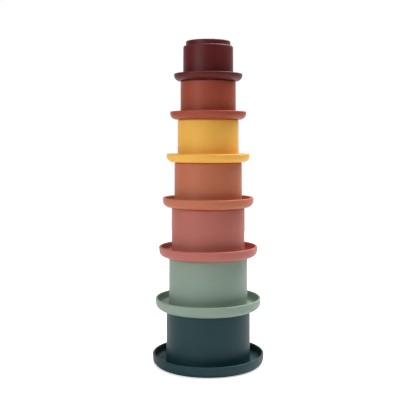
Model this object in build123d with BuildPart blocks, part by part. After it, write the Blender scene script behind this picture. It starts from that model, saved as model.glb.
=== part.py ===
"""Stacking ring toy: seven hat-shaped plastic rings that stack into a tower.

Every ring is one moulding, turned about the Z axis: a short tube with a saucer-shaped brim at
its foot and a narrower collar at its top. A ring stands brim-down with its flat underside on the
shoulder of the ring below, whose collar reaches up into the ring's mouth and keeps it centred.
The tower stands on Z = 0, and its axis is the Z axis. Millimetres.
"""

from build123d import *
from math import radians, tan
import os

WALL = 2.4  # thickness of the mouldings everywhere
DRAFT = 0.4  # degrees that the tubes narrow upwards, so that they leave the mould
COLLAR_HEIGHT = 4.8  # how far a collar stands up from its shoulder
COLLAR_GAP = 0.3  # radial play of a collar in the mouth above it
TOP_COLLAR_RADIUS = 23.6  # the last ring's collar carries nothing, and is wider than the rule

BRIM_LEAN = 3.5  # degrees that the brim's upturned wall leans outwards
BRIM_EDGE = 6.3  # rounding of the brim's outer bottom edge
LIP_EDGE = 0.45 * WALL  # rounding on both sides of the brim's upturned lip, almost a full round
TROUGH_ROOT = 1.6  # rounding where the brim's floor meets the tube
SHOULDER_EDGE = 2.0  # rounding of the tube's upper outer edge
COLLAR_EDGE = 0.9  # rounding on both sides of the collar's rim
COLLAR_ROOT = 0.4  # rounding where the collar meets the shoulder
MOUTH_EDGE = 0.8  # rounding of the mouth's lower edge
INSIDE_EDGE = 0.8  # rounding of the corners under the shoulder

# name, brim diameter, height of the brim's lip, tube diameter at the foot, height of the shoulder
RINGS = [
    ("ring_1_slate", 122.1, 12.3, 92.1, 61.5),
    ("ring_2_sage", 115.2, 12.0, 85.8, 57.2),
    ("ring_3_rose", 107.1, 11.1, 79.3, 53.6),
    ("ring_4_clay", 97.9, 10.3, 73.0, 48.2),
    ("ring_5_mustard", 89.4, 8.9, 65.8, 45.4),
    ("ring_6_rust", 81.5, 8.4, 59.3, 40.6),
    ("ring_7_burgundy", 73.0, 7.6, 53.4, 36.8),
]


def make_ring(name, base, brim_radius, lip_height, foot_radius, shoulder_height, collar_radius):
    """One ring, with the underside of its brim at height base."""
    shoulder_radius = foot_radius - shoulder_height * tan(radians(DRAFT))
    rim_height = shoulder_height + COLLAR_HEIGHT
    lean = tan(radians(BRIM_LEAN))
    corners = [  # radius, height and rounding of each corner, from the mouth outwards
        (foot_radius - WALL, 0, MOUTH_EDGE),
        (brim_radius - lean * lip_height, 0, BRIM_EDGE),
        (brim_radius, lip_height, LIP_EDGE),
        (brim_radius - WALL, lip_height, LIP_EDGE),
        (brim_radius - WALL - lean * (lip_height - WALL), WALL, BRIM_EDGE - WALL),
        (foot_radius, WALL, TROUGH_ROOT),
        (shoulder_radius, shoulder_height, SHOULDER_EDGE),
        (collar_radius, shoulder_height, COLLAR_ROOT),
        (collar_radius, rim_height, COLLAR_EDGE),
        (collar_radius - WALL, rim_height, COLLAR_EDGE),
        (collar_radius - WALL, shoulder_height - WALL, INSIDE_EDGE),
        (shoulder_radius - WALL, shoulder_height - WALL, INSIDE_EDGE),
    ]
    points = [(radius, height) for radius, height, rounding in corners]
    roundings = [rounding for radius, height, rounding in corners]

    with BuildPart() as ring:
        with BuildSketch(Plane((0, 0, base), x_dir=(1, 0, 0), z_dir=(0, -1, 0))):
            with BuildLine():
                FilletPolyline(*points, radius=roundings, close=True)
            make_face()
        revolve(axis=Axis.Z)

    ring.part.label = name
    export_step(ring.part, f"parts/{name}.step")


os.makedirs("parts", exist_ok=True)

base = 0
for index, (name, brim_diameter, lip_height, tube_diameter, shoulder_height) in enumerate(RINGS):
    if index + 1 < len(RINGS):
        next_tube_diameter = RINGS[index + 1][3]
        collar_radius = next_tube_diameter / 2 - WALL - COLLAR_GAP
    else:
        collar_radius = TOP_COLLAR_RADIUS
    make_ring(
        name,
        base,
        brim_diameter / 2,
        lip_height,
        tube_diameter / 2,
        shoulder_height,
        collar_radius,
    )
    base += shoulder_height
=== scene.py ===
"""Stacking ring toy: the looks of the seven moulded rings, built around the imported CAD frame."""

import math

import bpy
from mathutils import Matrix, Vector


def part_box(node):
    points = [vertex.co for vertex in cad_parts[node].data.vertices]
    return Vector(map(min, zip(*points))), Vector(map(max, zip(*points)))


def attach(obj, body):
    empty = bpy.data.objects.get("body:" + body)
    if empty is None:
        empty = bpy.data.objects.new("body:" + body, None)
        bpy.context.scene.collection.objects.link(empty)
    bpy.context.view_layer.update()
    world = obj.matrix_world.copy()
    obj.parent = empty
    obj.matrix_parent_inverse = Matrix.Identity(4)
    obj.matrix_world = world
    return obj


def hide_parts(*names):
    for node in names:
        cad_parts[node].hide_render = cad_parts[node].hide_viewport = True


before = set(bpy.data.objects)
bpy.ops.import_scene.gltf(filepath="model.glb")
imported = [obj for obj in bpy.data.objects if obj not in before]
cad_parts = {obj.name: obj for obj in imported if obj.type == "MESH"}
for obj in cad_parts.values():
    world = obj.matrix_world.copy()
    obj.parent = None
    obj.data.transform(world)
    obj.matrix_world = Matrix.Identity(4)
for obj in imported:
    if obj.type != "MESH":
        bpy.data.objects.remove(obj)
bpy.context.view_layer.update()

# ---------------------------------------------------------------- the rings, in metres
WALL = 0.0024  # thickness of the mouldings
DRAFT = math.radians(0.4)  # the tubes narrow upwards
BRIM_LEAN = math.radians(3.5)  # the brim's upturned wall leans outwards
BRIM_EDGE = 0.0063  # rounding of a brim's outer bottom edge
LIP_EDGE = 0.45 * WALL  # the lip is almost a full round
TROUGH_ROOT = 0.0016  # rounding where the brim's floor meets the tube
SHOULDER_EDGE = 0.0020  # rounding of the tube's upper outer edge
COLLAR_HEIGHT = 0.0048
COLLAR_GAP = 0.0003  # play of a collar in the mouth above it
COLLAR_EDGE = 0.0009  # rounding on both sides of the collar's rim
COLLAR_ROOT = 0.0004  # rounding where the collar meets the shoulder
TOP_COLLAR_RADIUS = 0.0236
MOUTH_EDGE = 0.0008  # rounding of the mouth's lower edge
INSIDE_EDGE = 0.0008  # rounding of the corners under the shoulder
SEAT_GAP = 0.00002  # keeps a shoulder and the brim that rests on it from being the same surface

# body, CAD node, tube diameter at the foot, height of the brim's lip, base colour in linear light
RINGS = [
    ("slate", "ring_1_slate", 0.0921, 0.0123, (0.0128, 0.047, 0.0557)),
    ("sage", "ring_2_sage", 0.0858, 0.0120, (0.25, 0.328, 0.266)),
    ("rose", "ring_3_rose", 0.0793, 0.0111, (0.451, 0.1425, 0.113)),
    ("clay", "ring_4_clay", 0.0730, 0.0103, (0.492, 0.152, 0.0802)),
    ("mustard", "ring_5_mustard", 0.0658, 0.0089, (0.849, 0.453, 0.0782)),
    ("rust", "ring_6_rust", 0.0593, 0.0084, (0.334, 0.0645, 0.0346)),
    ("burgundy", "ring_7_burgundy", 0.0534, 0.0076, (0.104, 0.0108, 0.0107)),
]

SEGMENTS = 256  # round the axis
ARC_STEPS = 8  # pieces of each rounded corner
LONGEST = 0.004  # no straight stretch of the outline goes further without a point

# ---------------------------------------------------------------- the plastic
PLASTIC_IOR = 1.49
PLASTIC_SPECULAR = 0.26  # 0.5 is polished plastic; the grain takes half of that gloss away
ROUGHNESS = (0.42, 0.52)  # lowest and highest
TINT_DRIFT = 0.05  # share by which the colour goes darker and lighter
CLOUD_SCALE = 45  # of the slow changes of tint and roughness, per metre
GRAIN_SCALE = 2200  # of the mould's fine grain, per metre
GRAIN_DEPTH = 0.0002
GRAIN_STRENGTH = 0.2

# ---------------------------------------------------------------- the studio
# softbox, degrees round from the front, degrees above the horizon, watts
SOFTBOXES = [
    ("front_left", -45, 18, 8.5),
    ("front_high", -45, 50, 4.2),
    ("right_high", 105, 50, 15.3),
    ("back_high", 155, 50, 7.6),
    ("steep", 120, 74, 13.4),
    ("overhead", 0, 74, 5.2),
]
SOFTBOX_SIZE = 0.9
SOFTBOX_DISTANCE = 1.5
AIM = Vector((0, 0, 0.17))  # the middle of the tower

BACKDROP = 0.9  # brightness of the white sweep behind the tower
BACKDROP_FADE = (0.3, 0.8)  # how far back a direction points where the sweep starts, and is whole

FLOOR_RADIUS = 1.2
FLOOR_SIDES = 90
FLOOR_TOP = -0.0001  # a hair below the tower's foot, so that the two faces don't coincide
FLOOR_COLOUR = (0.9, 0.9, 0.9, 1)
FLOOR_ROUGHNESS = 0.9
FLOOR_GLOW = 0.6  # lifts the paper to white for the camera, and lights nothing

WHITE = (1, 1, 1, 1)

SENSOR_WIDTH = 36  # mm
LENS = 64  # mm
CAMERA_PLACE = (-0.0002, -0.7977, 0.2440)
CAMERA_DIP = 5.25  # degrees below the horizon


# ---------------------------------------------------------------- ring meshes
def rounded(corners):
    """Closed outline of (radius, height) points; each corner (radius, height, rounding) becomes an arc."""
    outline = []
    for i, (radius, height, rounding) in enumerate(corners):
        corner = Vector((radius, height))
        before = Vector(corners[i - 1][:2]) - corner
        after = Vector(corners[(i + 1) % len(corners)][:2]) - corner
        before.normalize()
        after.normalize()
        half = before.angle(after) / 2
        centre = corner + (before + after).normalized() * (rounding / math.sin(half))
        start = corner + before * (rounding / math.tan(half)) - centre
        end = corner + after * (rounding / math.tan(half)) - centre
        turn = start.angle_signed(end)
        for step in range(ARC_STEPS + 1):
            angle = -turn * step / ARC_STEPS
            c, s = math.cos(angle), math.sin(angle)
            outline.append(centre + Vector((start.x * c - start.y * s, start.x * s + start.y * c)))
    return outline


def ring_outline(node, foot_radius, lip_height, collar_radius):
    """One ring's section, anticlockwise from the mouth; its heights and brim come from the CAD node."""
    low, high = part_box(node)
    base, rim = low.z, high.z
    shoulder = rim - COLLAR_HEIGHT - SEAT_GAP
    lean = math.tan(BRIM_LEAN)
    past_round = LIP_EDGE * (lean + 1 / math.cos(BRIM_LEAN) - 1)  # what the lip's rounding takes off
    brim_radius = (high.x - low.x) / 2 + past_round
    shoulder_radius = foot_radius - (shoulder - base) * math.tan(DRAFT)
    return rounded([
        (foot_radius - WALL, base, MOUTH_EDGE),
        (brim_radius - lean * lip_height, base, BRIM_EDGE),
        (brim_radius, base + lip_height, LIP_EDGE),
        (brim_radius - WALL, base + lip_height, LIP_EDGE),
        (brim_radius - WALL - lean * (lip_height - WALL), base + WALL, BRIM_EDGE - WALL),
        (foot_radius, base + WALL, TROUGH_ROOT),
        (shoulder_radius, shoulder, SHOULDER_EDGE),
        (collar_radius, shoulder, COLLAR_ROOT),
        (collar_radius, rim, COLLAR_EDGE),
        (collar_radius - WALL, rim, COLLAR_EDGE),
        (collar_radius - WALL, shoulder - WALL, INSIDE_EDGE),
        (shoulder_radius - WALL, shoulder - WALL, INSIDE_EDGE),
    ])


def split_long(outline):
    """The same closed outline with extra points on its long straight stretches."""
    fine = []
    for i, point in enumerate(outline):
        following = outline[(i + 1) % len(outline)]
        pieces = max(1, math.ceil((following - point).length / LONGEST))
        fine += [point.lerp(following, step / pieces) for step in range(pieces)]
    return fine


def turned(name, outline):
    """A closed mesh of the outline turned about the Z axis."""
    count = len(outline)
    vertices = []
    for segment in range(SEGMENTS):
        angle = 2 * math.pi * segment / SEGMENTS
        vertices += [(p.x * math.cos(angle), p.x * math.sin(angle), p.y) for p in outline]
    faces = []
    for segment in range(SEGMENTS):
        here = segment * count
        there = (segment + 1) % SEGMENTS * count
        for i in range(count):
            j = (i + 1) % count
            faces.append((here + i, there + i, there + j, here + j))
    mesh = bpy.data.meshes.new(name)
    mesh.from_pydata(vertices, [], faces)
    mesh.polygons.foreach_set("use_smooth", [True] * len(faces))
    mesh.validate()
    ring = bpy.data.objects.new(name, mesh)
    bpy.context.scene.collection.objects.link(ring)
    return ring


# ---------------------------------------------------------------- materials
def new_material(name):
    """A new material with its nodes, links and Principled shader."""
    material = bpy.data.materials.new(name)
    material.use_nodes = True
    tree = material.node_tree
    return material, tree.nodes, tree.links, tree.nodes["Principled BSDF"]


def moulded_plastic(name, colour):
    """Matte polypropylene: even colour, fine spark-eroded grain, and slow changes of sheen."""
    material, nodes, links, shader = new_material(name)
    shader.inputs["IOR"].default_value = PLASTIC_IOR
    shader.inputs["Specular IOR Level"].default_value = PLASTIC_SPECULAR
    where = nodes.new("ShaderNodeTexCoord")

    cloud = nodes.new("ShaderNodeTexNoise")
    cloud.inputs["Scale"].default_value = CLOUD_SCALE
    cloud.inputs["Detail"].default_value = 4
    links.new(where.outputs["Object"], cloud.inputs["Vector"])

    tint = nodes.new("ShaderNodeMix")
    tint.data_type = "RGBA"
    tint.inputs["A"].default_value = (*[c * (1 - TINT_DRIFT) for c in colour], 1)
    tint.inputs["B"].default_value = (*[c * (1 + TINT_DRIFT) for c in colour], 1)
    links.new(cloud.outputs["Fac"], tint.inputs["Factor"])
    links.new(tint.outputs["Result"], shader.inputs["Base Color"])

    sheen = nodes.new("ShaderNodeMapRange")
    sheen.inputs["To Min"].default_value, sheen.inputs["To Max"].default_value = ROUGHNESS
    links.new(cloud.outputs["Fac"], sheen.inputs["Value"])
    links.new(sheen.outputs["Result"], shader.inputs["Roughness"])

    grain = nodes.new("ShaderNodeTexNoise")
    grain.inputs["Scale"].default_value = GRAIN_SCALE
    grain.inputs["Detail"].default_value = 2
    links.new(where.outputs["Object"], grain.inputs["Vector"])
    bump = nodes.new("ShaderNodeBump")
    bump.inputs["Strength"].default_value = GRAIN_STRENGTH
    bump.inputs["Distance"].default_value = GRAIN_DEPTH
    links.new(grain.outputs["Fac"], bump.inputs["Height"])
    links.new(bump.outputs["Normal"], shader.inputs["Normal"])
    return material


def floor_paper():
    """White paper that the camera sees a little brighter than it is."""
    material, nodes, links, shader = new_material("floor_paper")
    shader.inputs["Base Color"].default_value = FLOOR_COLOUR
    shader.inputs["Roughness"].default_value = FLOOR_ROUGHNESS
    shader.inputs["Emission Color"].default_value = WHITE
    path = nodes.new("ShaderNodeLightPath")
    glow = nodes.new("ShaderNodeMath")
    glow.operation = "MULTIPLY"
    glow.inputs[1].default_value = FLOOR_GLOW
    links.new(path.outputs["Is Camera Ray"], glow.inputs[0])
    links.new(glow.outputs["Value"], shader.inputs["Emission Strength"])
    return material


# ---------------------------------------------------------------- pieces and studio
def make_rings():
    for index, (body, node, tube_diameter, lip_height, colour) in enumerate(RINGS):
        if index + 1 < len(RINGS):
            collar_radius = RINGS[index + 1][2] / 2 - WALL - COLLAR_GAP
        else:
            collar_radius = TOP_COLLAR_RADIUS
        outline = ring_outline(node, tube_diameter / 2, lip_height, collar_radius)
        ring = turned(f"{body}_ring", split_long(outline))
        ring.data.materials.append(moulded_plastic(f"{body}_plastic", colour))
        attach(ring, body)
        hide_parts(node)


def make_floor():
    """A round sheet of white paper."""
    edge = []
    for side in range(FLOOR_SIDES):
        angle = math.radians(360 / FLOOR_SIDES * side)
        edge.append((FLOOR_RADIUS * math.cos(angle), FLOOR_RADIUS * math.sin(angle), FLOOR_TOP))
    mesh = bpy.data.meshes.new("floor")
    mesh.from_pydata(edge, [], [range(FLOOR_SIDES)])
    mesh.materials.append(floor_paper())
    floor = bpy.data.objects.new("floor", mesh)
    bpy.context.scene.collection.objects.link(floor)


def add_softbox(name, round_from_front, above, power):
    light = bpy.data.lights.new(name, "AREA")
    light.shape = "SQUARE"
    light.size = SOFTBOX_SIZE
    light.energy = power
    azimuth, elevation = math.radians(round_from_front), math.radians(above)
    direction = Vector((
        math.sin(azimuth) * math.cos(elevation),
        -math.cos(azimuth) * math.cos(elevation),
        math.sin(elevation),
    ))
    lamp = bpy.data.objects.new(name, light)
    lamp.location = AIM + SOFTBOX_DISTANCE * direction
    lamp.rotation_euler = (-direction).to_track_quat("-Z", "Y").to_euler()
    lamp.visible_camera = False
    bpy.context.scene.collection.objects.link(lamp)


def make_backdrop():
    """A white sweep that lights the tower from behind; the camera sees plain white all round."""
    world = bpy.data.worlds.new("studio")
    world.use_nodes = True
    nodes, links = world.node_tree.nodes, world.node_tree.links
    toward = nodes.new("ShaderNodeSeparateXYZ")
    links.new(nodes.new("ShaderNodeTexCoord").outputs["Generated"], toward.inputs["Vector"])
    behind = nodes.new("ShaderNodeMapRange")
    behind.inputs["From Min"].default_value, behind.inputs["From Max"].default_value = BACKDROP_FADE
    behind.inputs["To Max"].default_value = BACKDROP
    links.new(toward.outputs["Y"], behind.inputs["Value"])
    sweep = nodes["Background"]
    sweep.inputs["Color"].default_value = WHITE
    links.new(behind.outputs["Result"], sweep.inputs["Strength"])

    paper = nodes.new("ShaderNodeBackground")
    paper.inputs["Color"].default_value = WHITE
    path = nodes.new("ShaderNodeLightPath")
    seen = nodes.new("ShaderNodeMixShader")
    links.new(path.outputs["Is Camera Ray"], seen.inputs["Fac"])
    links.new(sweep.outputs["Background"], seen.inputs[1])
    links.new(paper.outputs["Background"], seen.inputs[2])
    links.new(seen.outputs["Shader"], nodes["World Output"].inputs["Surface"])
    bpy.context.scene.world = world


def make_studio():
    make_floor()
    for softbox in SOFTBOXES:
        add_softbox(*softbox)
    make_backdrop()
    bpy.context.scene.view_settings.view_transform = "Standard"


def make_camera():
    camera = bpy.data.cameras.new("camera")
    camera.sensor_width = SENSOR_WIDTH
    camera.lens = LENS
    lookout = bpy.data.objects.new("camera", camera)
    lookout.location = CAMERA_PLACE
    lookout.rotation_euler = (math.radians(90 - CAMERA_DIP), 0, 0)
    bpy.context.scene.collection.objects.link(lookout)
    bpy.context.scene.camera = lookout


make_rings()
make_studio()
make_camera()
